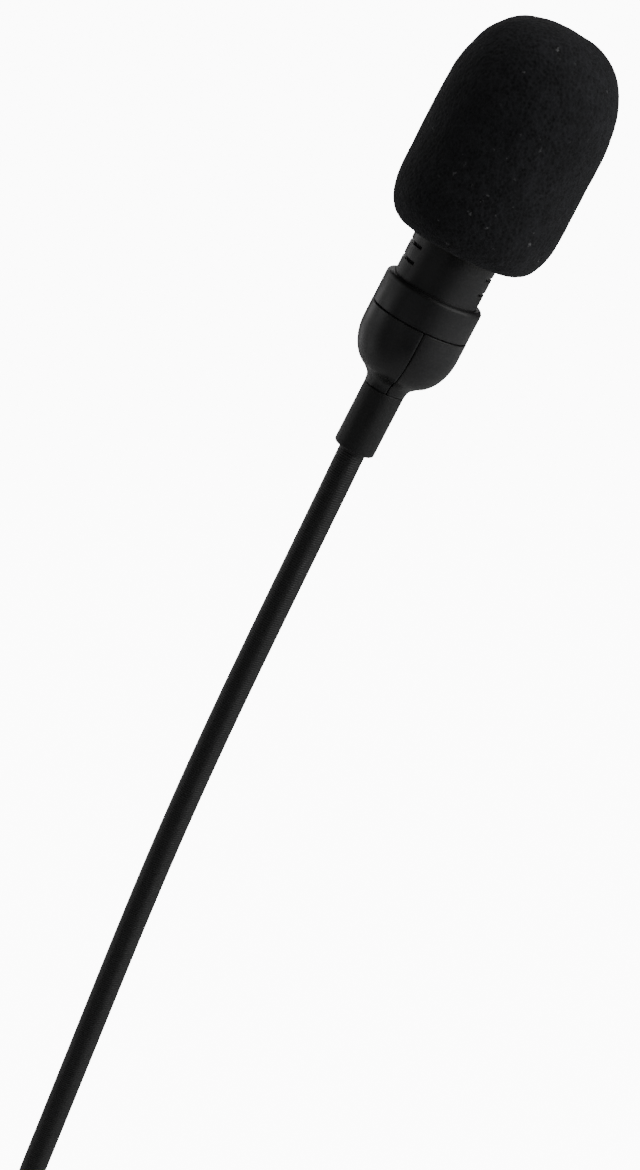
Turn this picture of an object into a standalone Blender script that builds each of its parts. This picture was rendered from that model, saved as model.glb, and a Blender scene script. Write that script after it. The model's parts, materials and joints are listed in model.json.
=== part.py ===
"""Gooseneck podium microphone: a three-pin plug base, a bendable neck and a foam-covered capsule head.

Metres, +Z up. The origin is the centre of the plug's shoulder, the ring that rests on the socket.
The neck leaves the base straight up and leans towards +X. Outlines are (radius, height) in millimetres.
"""

import math

import bmesh
import bpy
from mathutils import Matrix, Vector

MM = 0.001
GAP = 0.3  # clearance between neighbouring pieces
ROUND = 32  # sides of a large turned piece
MIDDLE_ROUND = 20
SMALL_ROUND = 16

# Plug and base, heights above the shoulder
PLUG_DEPTH = 16.5
PLUG_RADIUS = 9.4
PLUG_WALL = 1.45
PIN_CIRCLE = 4.75
PIN_RADIUS = 1.2
PIN_ANGLES = (90, 210, 330)
BARREL_RADIUS = 10.9
BARREL_WALL = 1.2
BARREL_HEIGHT = 38.0
BARREL_GROOVES = (4.0, 30.0)
GROOVE_DEPTH = 0.35
GROOVE_WIDTH = 1.5
CAP_HEIGHT = 6.0
BASE_TOP = 57.0  # where the neck comes out of the base

# Neck
NECK_RADIUS = 2.5
NECK_BORE = 1.5
NECK_LENGTH = 265.0
NECK_TAIL = 23.5  # what goes on inside the base and the head
NECK_JOINTS = 18
JOINT_GAP = 0.8
CABLE_RADIUS = 1.1
CABLE_START = 17.0  # height of its end beside the board
CABLE_END = 48.0  # how far it runs into the head
LOWER_LEAN = 21.2  # degrees gained over the lower stretch
LOWER_SPAN = (0.0, 100.0)
UPPER_LEAN = 3.6
UPPER_SPAN = (140.0, 235.0)

# Head, heights along its own axis from the end of its sleeve
HEAD_LEAN = 26.2
HEAD_TURN = 3.0  # the head's own front, turned about its axis
SLEEVE_RADIUS = 3.87
SLEEVE_LENGTH = 12.4
SLEEVE_WAIST = 3.2  # radius where the cap grips it
SLEEVE_FLANGE = (4.5, 15.5, 16.9)  # radius, bottom and top
FERRULE_BODY = (3.6, 17.3, 22.6)
FERRULE_FLANGE = (5.6, 22.6, 24.2)
NUT_RADIUS = 5.8
NUT_BORE = 3.9
NUT_HEIGHT = 3.0
NUT_MIDDLE = 20.7
CUP_BOTTOM = 12.7
CUP_TOP = 26.45
CUP_RADIUS = 9.34
COLLAR_TOP = 32.85
COLLAR_LIP = 1.0
COLLAR_RADIUS = 9.37
HOUSING_RADIUS = 8.05
HOUSING_WALL = 0.85
HOUSING_FLANGE = (8.3, 30.0, 31.5)
SPIGOT_RADIUS = 8.15  # of the cup, inside the collar
SPIGOT_TOP = 29.4
COLLAR_BORE = 8.65
HOUSING_TOP = 66.0
GRILLE_TOP = 71.0
GRILLE_HOLE = 1.0
GRILLE_CIRCLE = 4.2  # where the outer holes stand
GRILLE_HOLES = 6  # round the middle one
SLOT_HEIGHTS = (36.0, 39.0, 42.0, 45.0)
SLOT_WIDTH = 0.6
SLOT_SPAN = 75.0  # degrees of the wall that one slot runs through
LINING = (6.7, 7.05, 34.4, 48.0)  # radii, bottom and top of the cloth behind the slots
CAPSULE_RADIUS = 5.0
CAPSULE_BOTTOM = 55.0
CAPSULE_TOP = 62.0
HOLDER_RADIUS = 6.9
FOAM_BOTTOM = 41.5
FOAM_TOP = 83.2
FOAM_RADIUS = 15.4
FOAM_BORE_TOP = 71.8
FOAM_DOME = 20.5  # height of the domed top
FOAM_DOME_POWER = 2.65
FOAM_DOME_STEPS = 9
FOAM_EDGE = (4.6, 8.4)  # radial and axial size of the rounded lower edge

COLOURS = {
    "foam": ((0.012, 0.012, 0.013), 0.95, 0.0),
    "neck_coating": ((0.016, 0.016, 0.017), 0.55, 0.0),
    "soft_rubber": ((0.018, 0.018, 0.019), 0.6, 0.0),
    "black_plastic": ((0.02, 0.02, 0.021), 0.45, 0.0),
    "black_metal": ((0.03, 0.03, 0.032), 0.4, 0.8),
    "nickel": ((0.62, 0.6, 0.56), 0.28, 1.0),
    "gilt": ((0.75, 0.55, 0.22), 0.25, 1.0),
    "steel": ((0.5, 0.5, 0.5), 0.35, 1.0),
    "aluminium": ((0.7, 0.7, 0.71), 0.35, 1.0),
    "insulator": ((0.05, 0.07, 0.06), 0.5, 0.0),
    "board_green": ((0.03, 0.16, 0.07), 0.45, 0.0),
    "component_black": ((0.025, 0.025, 0.028), 0.35, 0.0),
    "white_polymer": ((0.75, 0.74, 0.7), 0.5, 0.0),
    "felt": ((0.05, 0.05, 0.055), 0.95, 0.0),
    "film": ((0.8, 0.7, 0.42), 0.2, 1.0),
    "wire_red": ((0.5, 0.03, 0.03), 0.45, 0.0),
    "wire_white": ((0.7, 0.7, 0.68), 0.45, 0.0),
    "cable_grey": ((0.09, 0.09, 0.095), 0.5, 0.0),
}


def clear_scene():
    """Remove whatever the file opened with."""
    for old in list(bpy.data.objects):
        bpy.data.objects.remove(old)


def material(name):
    """The Principled material of one finish, made once."""
    found = bpy.data.materials.get(name)
    if found:
        return found
    colour, roughness, metallic = COLOURS[name]
    made = bpy.data.materials.new(name)
    made.use_nodes = True
    shader = made.node_tree.nodes["Principled BSDF"]
    shader.inputs["Base Color"].default_value = (*colour, 1.0)
    shader.inputs["Roughness"].default_value = roughness
    shader.inputs["Metallic"].default_value = metallic
    return made


def add_object(name, bm, finish, place):
    """Put a finished mesh into the scene at its place."""
    mesh = bpy.data.meshes.new(name)
    bmesh.ops.recalc_face_normals(bm, faces=bm.faces)
    bm.to_mesh(mesh)
    bm.free()
    mesh.shade_smooth()
    mesh.set_sharp_from_angle(angle=math.radians(35))
    mesh.materials.append(material(finish))
    piece = bpy.data.objects.new(name, mesh)
    bpy.context.scene.collection.objects.link(piece)
    piece.matrix_world = place
    return piece


def at(x=0.0, y=0.0, z=0.0):
    """A move, in millimetres."""
    return Matrix.Translation(Vector((x, y, z)) * MM)


def turned_mesh(outline, sides=ROUND, start=0.0, sweep=360.0):
    """Turn a closed outline about Z. It has no edge along the axis, where a whole turn closes by itself."""
    bm = bmesh.new()
    points = [bm.verts.new((radius * MM, 0.0, height * MM)) for radius, height in outline]
    pairs = zip(points, points[1:] + points[:1])
    edges = [bm.edges.new(pair) for pair in pairs if pair[0].co.x > 0.0 or pair[1].co.x > 0.0]
    bmesh.ops.transform(bm, matrix=Matrix.Rotation(math.radians(start), 4, "Z"), verts=bm.verts)
    whole = sweep == 360.0
    bmesh.ops.spin(
        bm, geom=points + edges, axis=(0, 0, 1), cent=(0, 0, 0), angle=math.radians(sweep),
        steps=round(sides * sweep / 360.0), use_merge=whole,
    )
    if not whole:
        bmesh.ops.holes_fill(bm, edges=[edge for edge in bm.edges if edge.is_boundary])
    bmesh.ops.remove_doubles(bm, verts=bm.verts, dist=1e-6)
    return bm


def turned(name, outline, finish, place, sides=ROUND, start=0.0, sweep=360.0):
    """One turned piece."""
    return add_object(name, turned_mesh(outline, sides, start, sweep), finish, place)


def arc(centre_radius, centre_height, radial, axial, start, end, steps):
    """Points of an ellipse's arc, angles in degrees from the outward radius."""
    angles = [math.radians(start + (end - start) * step / steps) for step in range(steps + 1)]
    return [(centre_radius + radial * math.cos(a), centre_height + axial * math.sin(a)) for a in angles]


def ring_outline(inner, outer, bottom, top):
    """A plain ring's outline."""
    return [(inner, bottom), (outer, bottom), (outer, top), (inner, top)]


def disc_outline(radius, bottom, top):
    """A plain disc's outline."""
    return [(0.0, bottom), (radius, bottom), (radius, top), (0.0, top)]


def cut(piece, cutter_bm, name):
    """Cut a hidden shape, given in the piece's own space, out of a piece."""
    mesh = bpy.data.meshes.new(name)
    bmesh.ops.recalc_face_normals(cutter_bm, faces=cutter_bm.faces)
    cutter_bm.to_mesh(mesh)
    cutter_bm.free()
    cutter = bpy.data.objects.new(name, mesh)
    bpy.context.scene.collection.objects.link(cutter)
    cutter.matrix_world = piece.matrix_world
    cutter.hide_render = True
    cutter.display_type = "WIRE"
    boolean = piece.modifiers.new(name, "BOOLEAN")
    boolean.operation = "DIFFERENCE"
    boolean.solver = "EXACT"
    boolean.object = cutter


def block(size, centre):
    """A box mesh from its size and centre in millimetres."""
    bm = bmesh.new()
    shape = at(*centre) @ Matrix.Diagonal((*[side * MM for side in size], 1.0))
    bmesh.ops.create_cube(bm, size=1.0, matrix=shape)
    return bm


def rod(radius, length, middle, turn=Matrix.Identity(4), sides=SMALL_ROUND):
    """A plain round bar mesh, along Z before it is turned."""
    bm = bmesh.new()
    bmesh.ops.create_cone(
        bm, cap_ends=True, segments=sides, radius1=radius * MM, radius2=radius * MM, depth=length * MM,
        matrix=at(*middle) @ turn,
    )
    return bm


def wire(name, points, radius, finish, place):
    """A round wire along a smooth curve through points given in millimetres."""
    curve = bpy.data.curves.new(name, "CURVE")
    curve.dimensions = "3D"
    curve.bevel_depth = radius * MM
    curve.bevel_resolution = 2
    curve.render_resolution_u = 0
    curve.use_fill_caps = True
    spline = curve.splines.new("POLY")
    spline.points.add(len(points) - 1)
    for spot, point in zip(spline.points, points):
        spot.co = (*(Vector(point) * MM), 1.0)
    curve.materials.append(material(finish))
    piece = bpy.data.objects.new(name, curve)
    bpy.context.scene.collection.objects.link(piece)
    piece.matrix_world = place
    return piece


def bezier(start, start_pull, end_pull, end, steps=8):
    """Points along one Bezier curve."""
    corners = [Vector(corner) for corner in (start, start_pull, end_pull, end)]
    points = []
    for step in range(steps + 1):
        t = step / steps
        weights = ((1 - t) ** 3, 3 * t * (1 - t) ** 2, 3 * t * t * (1 - t), t**3)
        points.append(sum((corner * weight for corner, weight in zip(corners, weights)), Vector()))
    return points


# ---------------------------------------------------------------- the neck's centre line


def eased(value, span):
    """0 before the span, 1 after it and a smooth rise between."""
    t = min(1.0, max(0.0, (value - span[0]) / (span[1] - span[0])))
    return t * t * (3.0 - 2.0 * t)


def lean_at(distance):
    """The neck's lean from upright, in radians, at a distance along it in millimetres."""
    return math.radians(LOWER_LEAN * eased(distance, LOWER_SPAN) + UPPER_LEAN * eased(distance, UPPER_SPAN))


def neck_point(distance):
    """The neck's centre at a distance along it, in millimetres."""
    steps = max(1, math.ceil(abs(distance)))
    step = distance / steps
    point = Vector((0.0, 0.0, BASE_TOP))
    for number in range(steps):
        lean = lean_at((number + 0.5) * step)
        point += Vector((math.sin(lean), 0.0, math.cos(lean))) * step
    return point


def pivot_distance(number):
    """How far along the neck a joint lies."""
    return (number + 0.5) * NECK_LENGTH / NECK_JOINTS


def head_frame():
    """The head's own frame: its origin at the sleeve's end, its Z along the head."""
    return at(*neck_point(NECK_LENGTH)) @ Matrix.Rotation(math.radians(HEAD_LEAN), 4, "Y")


def along(start, end):
    """A frame at start whose Z points to end, its Y kept in the world's."""
    lean = math.atan2(end.x - start.x, end.z - start.z)
    return at(*start) @ Matrix.Rotation(lean, 4, "Y")


# ---------------------------------------------------------------- the base


def make_plug_shell():
    """The metal nose with its latch window, continued up into the barrel."""
    inner = PLUG_RADIUS - PLUG_WALL
    outline = [
        (inner, -PLUG_DEPTH), (PLUG_RADIUS - 0.4, -PLUG_DEPTH), (PLUG_RADIUS, -PLUG_DEPTH + 0.4),
        (PLUG_RADIUS, 10.5), (inner, 10.5),
    ]
    shell = turned("plug_shell", outline, "nickel", Matrix.Identity(4))
    cut(shell, block((5.0, 4.0, 4.2), (0, PLUG_RADIUS, -8.5)), "latch_window_cutter")
    screw_hole = rod(1.35, 4.0, (PLUG_RADIUS, 0, 3.0), Matrix.Rotation(math.radians(90), 4, "Y"), 12)
    cut(shell, screw_hole, "screw_hole_cutter")


def make_plug_insert():
    """The insulating disc that carries the pins."""
    radius = PLUG_RADIUS - PLUG_WALL - GAP
    outline = [(0.0, -1.5), (radius - 0.4, -1.5), (radius, -1.1), (radius, 6.0), (0.0, 6.0)]
    insert = turned("plug_insert", outline, "insulator", Matrix.Identity(4))
    for number, angle in enumerate(PIN_ANGLES, 1):
        middle = pin_middle(angle)
        cut(insert, rod(PIN_RADIUS + GAP, 12.0, (middle.x, middle.y, 2.0)), f"pin_hole_{number}_cutter")


def pin_middle(angle):
    """Where one contact pin stands on the pin circle."""
    turn = math.radians(angle)
    return Vector((PIN_CIRCLE * math.cos(turn), PIN_CIRCLE * math.sin(turn), 0.0))


def make_contact_pins():
    """Three round pins with rounded tips below and solder cups above."""
    tip = arc(0.0, -13.3, PIN_RADIUS, PIN_RADIUS, -90, 0, 4)
    cup = [(PIN_RADIUS, 9.0), (0.8, 9.0), (0.8, 7.4), (0.0, 7.4)]
    for number, angle in enumerate(PIN_ANGLES, 1):
        outline = [(0.0, tip[0][1])] + tip[1:] + cup
        turned(f"contact_pin_{number}", outline, "gilt", at(*pin_middle(angle)), 12)


def make_insert_screw():
    """The grub screw through the shell that locks the insert."""
    outline = [(0.0, 0.0), (1.0, 0.0), (1.0, 1.5), (0.55, 1.5), (0.55, 0.8), (0.0, 0.8)]
    place = at(PLUG_RADIUS - PLUG_WALL + 0.05, 0, 3.0) @ Matrix.Rotation(math.radians(90), 4, "Y")
    turned("insert_screw", outline, "steel", place, 12)


def make_barrel():
    """The handle tube round the plug shell and the circuit board."""
    inner = BARREL_RADIUS - BARREL_WALL
    low = BARREL_RADIUS - GROOVE_DEPTH
    outline = [(inner, 0.0), (BARREL_RADIUS - 0.5, 0.0), (BARREL_RADIUS, 0.5)]
    for groove in BARREL_GROOVES:
        end = groove + GROOVE_WIDTH
        outline += [(BARREL_RADIUS, groove), (low, groove + GROOVE_DEPTH), (low, end - GROOVE_DEPTH)]
        outline.append((BARREL_RADIUS, end))
    outline += [(BARREL_RADIUS, BARREL_HEIGHT), (inner, BARREL_HEIGHT)]
    turned("barrel", outline, "black_metal", Matrix.Identity(4))


def make_barrel_electronics():
    """The output board with a capacitor and a transistor, and the wires to the pins."""
    add_object("barrel_board", block((15.0, 1.6, 14.0), (0, 2.5, 20.5)), "board_green", Matrix.Identity(4))
    lying = Matrix.Rotation(math.radians(90), 4, "X")
    turned(
        "board_capacitor", [(0.0, 0.0), (2.0, 0.0), (2.0, 4.6), (1.7, 4.9), (0.0, 4.9)], "component_black",
        at(-4.5, 1.4, 23.5) @ lying, SMALL_ROUND,
    )
    add_object(
        "board_transistor", block((4.2, 3.0, 4.4), (4.2, -0.1, 23.5)), "component_black", Matrix.Identity(4)
    )
    board_ends = ((0.0, 4.25, 15.5), (-5.4, 0.7, 15.5), (5.4, 0.7, 15.5))
    for number, (angle, end) in enumerate(zip(PIN_ANGLES, board_ends), 1):
        start = pin_middle(angle) + Vector((0.0, 0.0, 9.0 + GAP))
        middle = Vector((start.x, start.y, 12.5))
        before_end = Vector((end[0], end[1], 12.0))
        wire(
            f"pin_wire_{number}", bezier(start, middle, before_end, end, 6), 0.5,
            "wire_red" if number == 2 else "wire_white", Matrix.Identity(4),
        )


def make_base_cap():
    """The rounded cap that closes the barrel and holds the base sleeve."""
    bottom = BARREL_HEIGHT + GAP
    spigot = BARREL_RADIUS - BARREL_WALL - GAP
    dome = arc(5.0, bottom + 1.2, BARREL_RADIUS - 5.0, CAP_HEIGHT - 1.2, 0, 80, 6)
    top = bottom + CAP_HEIGHT
    outline = [(8.6, bottom - 4.5), (spigot, bottom - 4.5), (spigot, bottom), (BARREL_RADIUS, bottom)]
    outline += dome
    outline += [(3.6, top), (3.6, top - 2.5), (4.9, top - 2.5), (8.6, bottom)]
    turned("base_cap", outline, "black_plastic", Matrix.Identity(4))


def make_sleeve(name, place):
    """A rubber sleeve round the neck's end, with the flange that its cap grips. Its open end is at zero."""
    bore = NECK_RADIUS + 0.35
    flange, flange_bottom, flange_top = SLEEVE_FLANGE
    outline = [
        (bore, 0.0), (SLEEVE_RADIUS - GAP, 0.0), (SLEEVE_RADIUS, GAP), (SLEEVE_RADIUS, SLEEVE_LENGTH - GAP),
        (SLEEVE_RADIUS - GAP, SLEEVE_LENGTH), (SLEEVE_WAIST, SLEEVE_LENGTH), (SLEEVE_WAIST, flange_bottom),
        (flange, flange_bottom), (flange, flange_top), (bore, flange_top),
    ]
    turned(name, outline, "soft_rubber", place, MIDDLE_ROUND)


def make_ferrule(name, place):
    """The flanged steel ferrule crimped on the neck's end, and the nut on it."""
    bore = NECK_RADIUS + GAP
    body, body_bottom, body_top = FERRULE_BODY
    flange, flange_bottom, flange_top = FERRULE_FLANGE
    outline = [
        (bore, body_bottom), (body, body_bottom), (body, body_top), (flange, flange_bottom),
        (flange, flange_top), (bore, flange_top),
    ]
    turned(name, outline, "steel", place, SMALL_ROUND)
    middle = (0, 0, NUT_MIDDLE)
    nut = add_object(f"{name}_nut", rod(NUT_RADIUS, NUT_HEIGHT, middle, sides=6), "nickel", place)
    cut(nut, rod(NUT_BORE, 2 * NUT_HEIGHT, middle), f"{name}_nut_bore_cutter")


def make_base():
    """Everything below the neck."""
    make_plug_shell()
    make_plug_insert()
    make_contact_pins()
    make_insert_screw()
    make_barrel()
    make_barrel_electronics()
    make_base_cap()
    upside_down = at(0, 0, BASE_TOP) @ Matrix.Rotation(math.pi, 4, "X")
    make_sleeve("base_sleeve", upside_down)
    make_ferrule("base_ferrule", upside_down)


# ---------------------------------------------------------------- the neck


def make_neck_link(number, frame, bottom, top):
    """One stretch of the wound neck between two joints."""
    outline = ring_outline(NECK_BORE, NECK_RADIUS, bottom, top)
    turned(f"neck_link_{number:02d}", outline, "neck_coating", frame, SMALL_ROUND)


def make_neck():
    """The neck as straight links between the joints."""
    pivots = [neck_point(pivot_distance(number)) for number in range(NECK_JOINTS)]
    trim = JOINT_GAP / 2
    base_end = Vector((0.0, 0.0, BASE_TOP))
    make_neck_link(0, at(*base_end), -NECK_TAIL, (pivots[0] - base_end).length - trim)
    for number, (below, above) in enumerate(zip(pivots, pivots[1:]), 1):
        make_neck_link(number, along(below, above), trim, (above - below).length - trim)
    head_end = neck_point(NECK_LENGTH)
    make_neck_link(NECK_JOINTS, head_frame(), trim - (head_end - pivots[-1]).length, NECK_TAIL)


def make_cable():
    """The shielded cable through the neck, from the barrel's board to the capsule."""
    below_neck = [Vector((0.0, 0.0, CABLE_START + 8.0 * step)) for step in range(5)]
    inside_neck = [neck_point(NECK_LENGTH * step / 30) for step in range(31)]
    inside_head = [head_frame() @ Vector((0, 0, CABLE_END * step / 6 * MM)) / MM for step in range(1, 7)]
    points = below_neck + inside_neck + inside_head
    wire("microphone_cable", points, CABLE_RADIUS, "cable_grey", Matrix.Identity(4))


# ---------------------------------------------------------------- the head


def cup_outline():
    """Half section of the cup: fillet from the sleeve, bowl, spigot into the collar and the hollow."""
    fillet = arc(5.3, CUP_BOTTOM, 1.3, 2.1, 180, 118, 3)
    bowl = arc(3.9, 23.0, CUP_RADIUS - 3.9, 8.1, -72, 0, 8)
    outside = fillet + bowl + [(CUP_RADIUS, CUP_TOP)]
    spigot = [(SPIGOT_RADIUS, CUP_TOP), (SPIGOT_RADIUS, SPIGOT_TOP), (7.5, SPIGOT_TOP)]
    flange_room = [(4.95, 17.3), (4.95, 15.2), (3.6, 15.2), (3.6, CUP_BOTTOM)]
    return outside + spigot + [(7.5, 21.4), (6.9, 19.0), (5.9, 17.3)] + flange_room


def make_cup_halves(place):
    """The cup's two moulded halves, parted on the plane through the head's front."""
    for name, side in (("cup_half_right", 1), ("cup_half_left", -1)):
        start = -90.0 if side > 0 else 90.0
        shift = at(side * GAP / 2, 0, 0)
        turned(name, cup_outline(), "black_plastic", place @ shift, ROUND, start, 180.0)


def make_collar(place):
    """The threaded ring that holds the capsule housing on the cup."""
    bottom = CUP_TOP + GAP
    lip = arc(COLLAR_RADIUS - COLLAR_LIP, COLLAR_TOP - COLLAR_LIP, COLLAR_LIP, COLLAR_LIP, 0, 90, 4)
    outline = [(COLLAR_BORE, bottom), (COLLAR_RADIUS - 0.15, bottom), (COLLAR_RADIUS, bottom + 0.15)]
    outline += lip
    over_flange = HOUSING_FLANGE[2] + GAP
    inner = HOUSING_RADIUS + GAP
    outline += [(inner, COLLAR_TOP), (inner, over_flange), (COLLAR_BORE, over_flange)]
    turned("collar_ring", outline, "black_plastic", place)


def make_housing(place):
    """The slotted tube that holds the capsule, its cloth lining, and the plug that closes its lower end."""
    inner = HOUSING_RADIUS - HOUSING_WALL
    flange, bottom, flange_top = HOUSING_FLANGE
    outline = [
        (inner, bottom), (flange, bottom), (flange, flange_top), (HOUSING_RADIUS, flange_top),
        (HOUSING_RADIUS, HOUSING_TOP), (inner, HOUSING_TOP),
    ]
    housing = turned("capsule_housing", outline, "black_plastic", place)
    half = SLOT_WIDTH / 2
    for number, height in enumerate(SLOT_HEIGHTS, 1):
        for side in (0.0, 180.0):
            slot = ring_outline(inner - 1.0, HOUSING_RADIUS + 1.0, height - half, height + half)
            cutter = turned_mesh(slot, 24, side - SLOT_SPAN / 2, SLOT_SPAN)
            cut(housing, cutter, f"slot_{number}_{int(side)}_cutter")
    turned("slot_lining", ring_outline(*LINING), "felt", place, MIDDLE_ROUND)
    plug = ring_outline(1.5, inner - GAP, 31.0, 33.0)
    turned("housing_plug", plug, "black_plastic", place, MIDDLE_ROUND)


def make_grille(place):
    """The perforated metal dome over the capsule."""
    bottom = HOUSING_TOP + GAP
    dome = GRILLE_TOP - bottom
    wall = 0.8
    outside = arc(0.0, bottom, HOUSING_RADIUS, dome, 0, 90, 6)
    inside = arc(0.0, bottom, HOUSING_RADIUS - wall, dome - wall, 90, 0, 6)
    outside[-1] = (0.0, GRILLE_TOP)
    inside[0] = (0.0, GRILLE_TOP - wall)
    grille = turned("front_grille", outside + inside, "black_metal", place)
    cut(grille, rod(GRILLE_HOLE, 12.0, (0, 0, GRILLE_TOP), sides=8), "grille_hole_middle_cutter")
    for number in range(GRILLE_HOLES):
        turn = math.tau * number / GRILLE_HOLES
        across, deep = GRILLE_CIRCLE * math.cos(turn), GRILLE_CIRCLE * math.sin(turn)
        hole = rod(GRILLE_HOLE, 12.0, (across, deep, GRILLE_TOP), sides=8)
        cut(grille, hole, f"grille_hole_{number + 1}_cutter")


def make_capsule(place):
    """The condenser capsule in its rubber holder: can, diaphragm, backplate, board and transistor."""
    wall = 0.45
    bottom, top = CAPSULE_BOTTOM, CAPSULE_TOP
    inner = CAPSULE_RADIUS - wall
    room = inner - GAP
    can = [
        (inner, bottom), (CAPSULE_RADIUS, bottom), (CAPSULE_RADIUS, top - 0.3), (CAPSULE_RADIUS - 0.3, top),
        (1.4, top), (1.4, top - wall), (inner, top - wall),
    ]
    turned("capsule_can", can, "aluminium", place, MIDDLE_ROUND)
    rim = room - 0.8
    film = [
        (0.0, top - 1.2), (rim, top - 1.2), (rim, top - 1.5), (room, top - 1.5), (room, top - 0.8),
        (rim, top - 0.8), (rim, top - 1.05), (0.0, top - 1.05),
    ]
    turned("diaphragm", film, "film", place, MIDDLE_ROUND)
    turned("backplate", disc_outline(3.6, top - 2.6, top - 1.85), "gilt", place, MIDDLE_ROUND)
    insulating_ring = ring_outline(3.0, room, bottom + 1.3, top - 2.9)
    turned("backplate_ring", insulating_ring, "white_polymer", place, MIDDLE_ROUND)
    board = disc_outline(room, bottom + 0.1, bottom + 1.0)
    turned("capsule_board", board, "board_green", place, MIDDLE_ROUND)
    transistor = block((2.4, 1.6, 1.2), (0, 0, bottom + 1.9))
    add_object("capsule_transistor", transistor, "component_black", place)
    holder = ring_outline(CAPSULE_RADIUS + GAP, HOLDER_RADIUS, bottom - 1.0, top + 0.4)
    turned("capsule_holder", holder, "soft_rubber", place, MIDDLE_ROUND)
    turned("felt_disc", disc_outline(HOLDER_RADIUS, top + 0.8, top + 2.0), "felt", place, MIDDLE_ROUND)
    for number, side in enumerate((-1, 1), 1):
        points = bezier(
            (side * 0.55, 0, CABLE_END + GAP), (side * 0.6, 0, 50.5), (side * 2.2, 0, 52.0),
            (side * 2.2, 0, bottom - 0.2), 6,
        )
        wire(f"capsule_lead_{number}", points, 0.35, "wire_red" if side > 0 else "wire_white", place)


def make_windscreen(place):
    """The foam cover: a domed cylinder with a blind bore that slips over the capsule housing."""
    edge_radial, edge_axial = FOAM_EDGE
    bore = HOUSING_RADIUS + GAP
    outline = [(bore, FOAM_BOTTOM)]
    outline += arc(FOAM_RADIUS - edge_radial, FOAM_BOTTOM + edge_axial, edge_radial, edge_axial, -90, 0, 5)
    dome_start = FOAM_TOP - FOAM_DOME
    for step in range(FOAM_DOME_STEPS + 1):
        turn = math.radians(90.0 * step / FOAM_DOME_STEPS)
        radius = FOAM_RADIUS * math.cos(turn) ** (2 / FOAM_DOME_POWER)
        height = dome_start + FOAM_DOME * math.sin(turn) ** (2 / FOAM_DOME_POWER)
        outline.append((radius if step < FOAM_DOME_STEPS else 0.0, height))
    inside = [(0.0, FOAM_BORE_TOP), (5.5, FOAM_BORE_TOP - 0.4), (bore, FOAM_BORE_TOP - 3.4)]
    turned("foam_windscreen", outline + inside, "foam", place)


def make_head():
    """Everything above the neck."""
    place = head_frame()
    turned_place = place @ Matrix.Rotation(math.radians(HEAD_TURN), 4, "Z")
    make_sleeve("head_sleeve", place)
    make_ferrule("head_ferrule", place)
    make_cup_halves(turned_place)
    make_collar(place)
    make_housing(turned_place)
    make_capsule(turned_place)
    make_grille(turned_place)
    make_windscreen(place)


clear_scene()
make_base()
make_neck()
make_cable()
make_head()
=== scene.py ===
"""Looks of the gooseneck podium microphone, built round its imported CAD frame.

The frame holds every solid at its real place. This script dresses those that may show as they are, and
models the finer pieces that stand for the others: the foam windscreen, the slotted housing, the collar, the
two cup halves, the sleeves, the wound neck with its cable, and the plug base. Outlines are (radius, height)
in millimetres along an axis.
"""
import json
import logging
import math
from collections.abc import Callable, Iterable
from dataclasses import dataclass, field
from enum import Enum

import bmesh
import bpy
import numpy as np
from mathutils import Matrix, Vector, noise

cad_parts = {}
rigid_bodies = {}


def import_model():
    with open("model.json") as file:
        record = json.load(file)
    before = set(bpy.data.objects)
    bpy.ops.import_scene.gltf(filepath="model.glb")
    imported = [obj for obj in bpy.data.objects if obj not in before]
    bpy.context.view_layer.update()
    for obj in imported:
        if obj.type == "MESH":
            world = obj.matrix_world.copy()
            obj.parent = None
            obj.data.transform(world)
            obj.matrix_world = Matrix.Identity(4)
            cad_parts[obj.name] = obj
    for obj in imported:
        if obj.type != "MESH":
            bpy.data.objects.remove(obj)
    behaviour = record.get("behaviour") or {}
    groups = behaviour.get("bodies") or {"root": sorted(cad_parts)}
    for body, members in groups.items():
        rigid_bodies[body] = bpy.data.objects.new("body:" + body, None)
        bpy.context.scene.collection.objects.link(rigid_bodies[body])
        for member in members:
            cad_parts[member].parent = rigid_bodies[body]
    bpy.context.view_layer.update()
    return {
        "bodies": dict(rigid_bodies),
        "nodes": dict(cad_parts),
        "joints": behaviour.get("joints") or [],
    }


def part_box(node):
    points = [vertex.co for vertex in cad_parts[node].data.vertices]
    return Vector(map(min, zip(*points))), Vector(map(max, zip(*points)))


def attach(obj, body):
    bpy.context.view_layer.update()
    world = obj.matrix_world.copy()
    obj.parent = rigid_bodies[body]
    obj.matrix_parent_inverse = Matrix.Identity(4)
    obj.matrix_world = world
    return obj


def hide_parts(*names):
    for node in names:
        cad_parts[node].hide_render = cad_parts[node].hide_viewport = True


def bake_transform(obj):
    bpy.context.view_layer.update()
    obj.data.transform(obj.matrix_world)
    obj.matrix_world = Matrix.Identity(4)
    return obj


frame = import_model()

MM = 0.001
FRONT = -90.0  # degrees: the side of an axis that faces -Y
MERGE = 1e-7  # metres: points closer than this are one
HEAD_TURN = 3.0  # degrees that the cup's seam and the slots stand turned about the head's axis
VIEW_CENTRE = (-6.1, 0.0, -26.5)  # millimetres from the head sleeve's lower end to what the camera aims at
log = logging.getLogger("gooseneck_microphone")

Outline = list[tuple[float, float]]
Colour = tuple[float, float, float]


class Side(Enum):
    """The two moulded halves of the cup, by the sign of their side."""

    LEFT = -1
    RIGHT = 1


class End(Enum):
    """The neck's two ends, by the body that holds each."""

    BASE = "base"
    HEAD = "head"


# ---------------------------------------------------------------- outlines and meshes


def arc(
    centre: tuple[float, float], radii: tuple[float, float], start: float, end: float, steps: int
) -> Outline:
    """Points of an ellipse's arc.

    Args:
        centre: radius and height of the arc's centre.
        radii: its half axes, outwards and upwards.
        start, end: angles in degrees, 0 pointing outwards and 90 up.
        steps: how many chords it is made of.

    Returns:
        The points from start to end.
    """
    angles = [math.radians(start + (end - start) * step / steps) for step in range(steps + 1)]
    return [(centre[0] + radii[0] * math.cos(a), centre[1] + radii[1] * math.sin(a)) for a in angles]


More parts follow.
